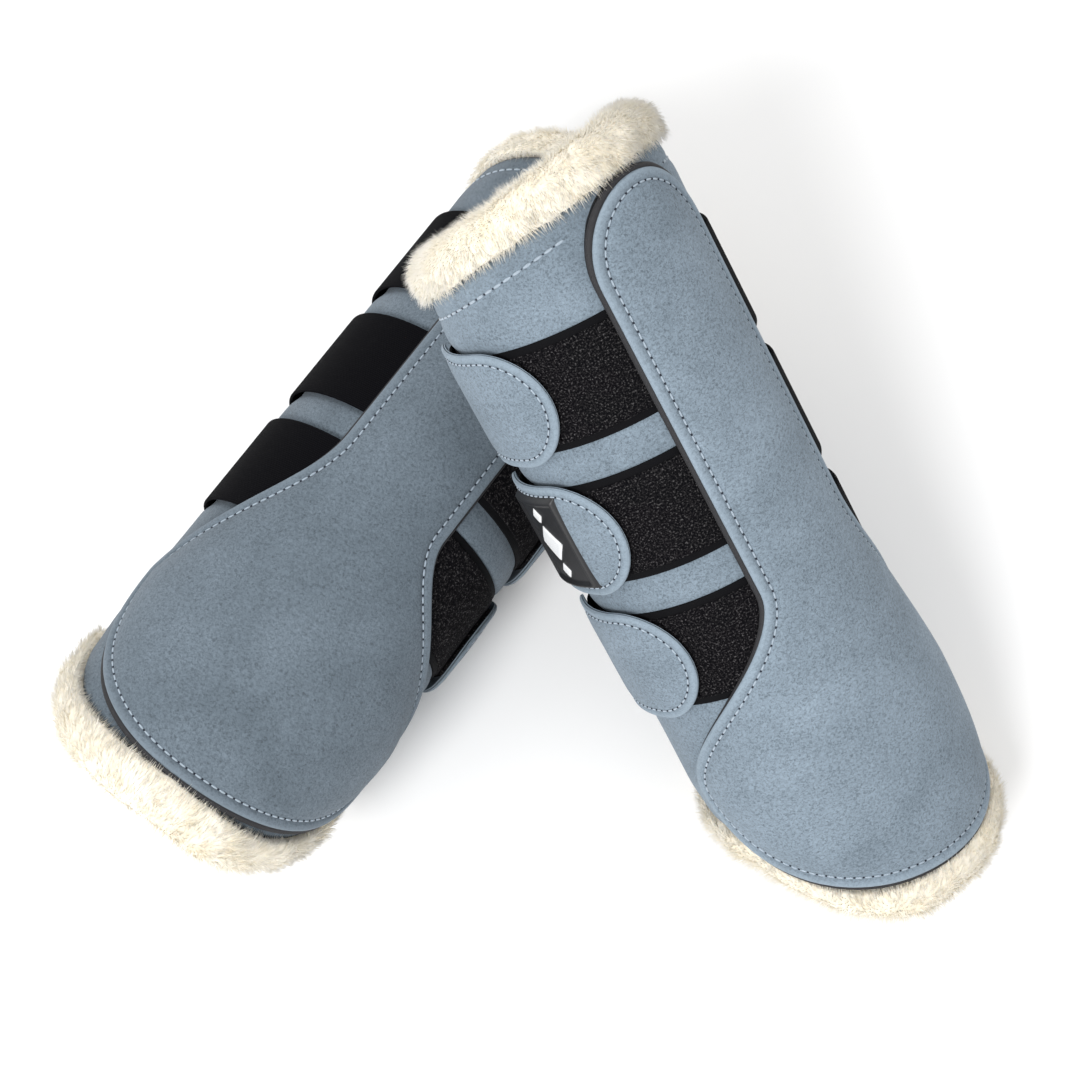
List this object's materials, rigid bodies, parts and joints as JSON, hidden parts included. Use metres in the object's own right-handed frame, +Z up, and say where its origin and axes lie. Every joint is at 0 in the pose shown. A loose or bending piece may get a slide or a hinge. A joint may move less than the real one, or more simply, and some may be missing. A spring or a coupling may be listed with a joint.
{
  "type": "horse tendon boots",
  "caption": "Wrap-round leg boots for a horse, with a long strike pad over a bowl-shaped foot, elastic hook-and-loop straps and a rolled fleece lining.",
  "frame": {"origin": "centre of the pair's footprint, on the surface that the pair lies on", "axes": "+X to the right as the strike pads are seen from in front, +Y to the back, towards the boots' top ends, +Z up"},
  "size_m": [0.339, 0.299, 0.2268],
  "materials": {
    "suede": "matte",
    "foam": "matte",
    "fleece": "matte",
    "loop": "matte",
    "hook": "matte",
    "elastic": "matte",
    "badge": "satin"
  },
  "bodies": {
    "boot_a": {"a_fleece_lining": "fleece", "a_top_cuff": "fleece", "a_bottom_cuff": "fleece", "a_foam_core": "foam", "a_suede_shell": "suede", "a_pad_foam": "foam", "a_pad_cover": "suede", "a_loop_band_top": "loop", "a_elastic_top": "elastic", "a_loop_band_mid": "loop", "a_elastic_mid": "elastic", "a_loop_band_low": "loop", "a_elastic_low": "elastic"},
    "boot_b": {"b_fleece_lining": "fleece", "b_top_cuff": "fleece", "b_bottom_cuff": "fleece", "b_foam_core": "foam", "b_suede_shell": "suede", "b_pad_foam": "foam", "b_pad_cover": "suede", "b_loop_band_top": "loop", "b_elastic_top": "elastic", "b_loop_band_mid": "loop", "b_elastic_mid": "elastic", "b_loop_band_low": "loop", "b_elastic_low": "elastic"},
    "strap_a_tab_top": {"a_elastic_end_top": "elastic", "a_tab_top": "suede", "a_hook_patch_top": "hook"},
    "strap_a_tab_mid": {"a_elastic_end_mid": "elastic", "a_tab_mid": "suede", "a_hook_patch_mid": "hook", "a_badge": "badge"},
    "strap_a_tab_low": {"a_elastic_end_low": "elastic", "a_tab_low": "suede", "a_hook_patch_low": "hook"},
    "strap_b_tab_top": {"b_elastic_end_top": "elastic", "b_tab_top": "suede", "b_hook_patch_top": "hook"},
    "strap_b_tab_mid": {"b_elastic_end_mid": "elastic", "b_tab_mid": "suede", "b_hook_patch_mid": "hook", "b_badge": "badge"},
    "strap_b_tab_low": {"b_elastic_end_low": "elastic", "b_tab_low": "suede", "b_hook_patch_low": "hook"}
  },
  "joints": [
    {"name": "boot_b_lift", "type": "slide", "parent": "boot_a", "child": "boot_b", "axis": [0, 0, 1], "range_m": [0, 0.15]},
    {"name": "a_tab_top_open", "type": "hinge", "parent": "boot_a", "child": "strap_a_tab_top", "pos_m": [0.00437, 0.06173, 0.001], "axis": [0.5807, 0.8141, -0.004], "range_deg": [0, 85]},
    {"name": "a_tab_mid_open", "type": "hinge", "parent": "boot_a", "child": "strap_a_tab_mid", "pos_m": [-0.02525, 0.02022, 0.0012], "axis": [0.5807, 0.8141, -0.004], "range_deg": [0, 85]},
    {"name": "a_tab_low_open", "type": "hinge", "parent": "boot_a", "child": "strap_a_tab_low", "pos_m": [-0.05486, -0.0213, 0.00141], "axis": [0.5807, 0.8141, -0.004], "range_deg": [0, 85]},
    {"name": "b_tab_top_open", "type": "hinge", "parent": "boot_b", "child": "strap_b_tab_top", "pos_m": [-0.02386, 0.01571, 0.13321], "axis": [0.4582, -0.6667, -0.5878], "range_deg": [0, 85]},
    {"name": "b_tab_mid_open", "type": "hinge", "parent": "boot_b", "child": "strap_b_tab_mid", "pos_m": [-0.00049, -0.01829, 0.10324], "axis": [0.4582, -0.6667, -0.5878], "range_deg": [0, 85]},
    {"name": "b_tab_low_open", "type": "hinge", "parent": "boot_b", "child": "strap_b_tab_low", "pos_m": [0.02288, -0.0523, 0.07326], "axis": [0.4582, -0.6667, -0.5878], "range_deg": [0, 85]}
  ]
}
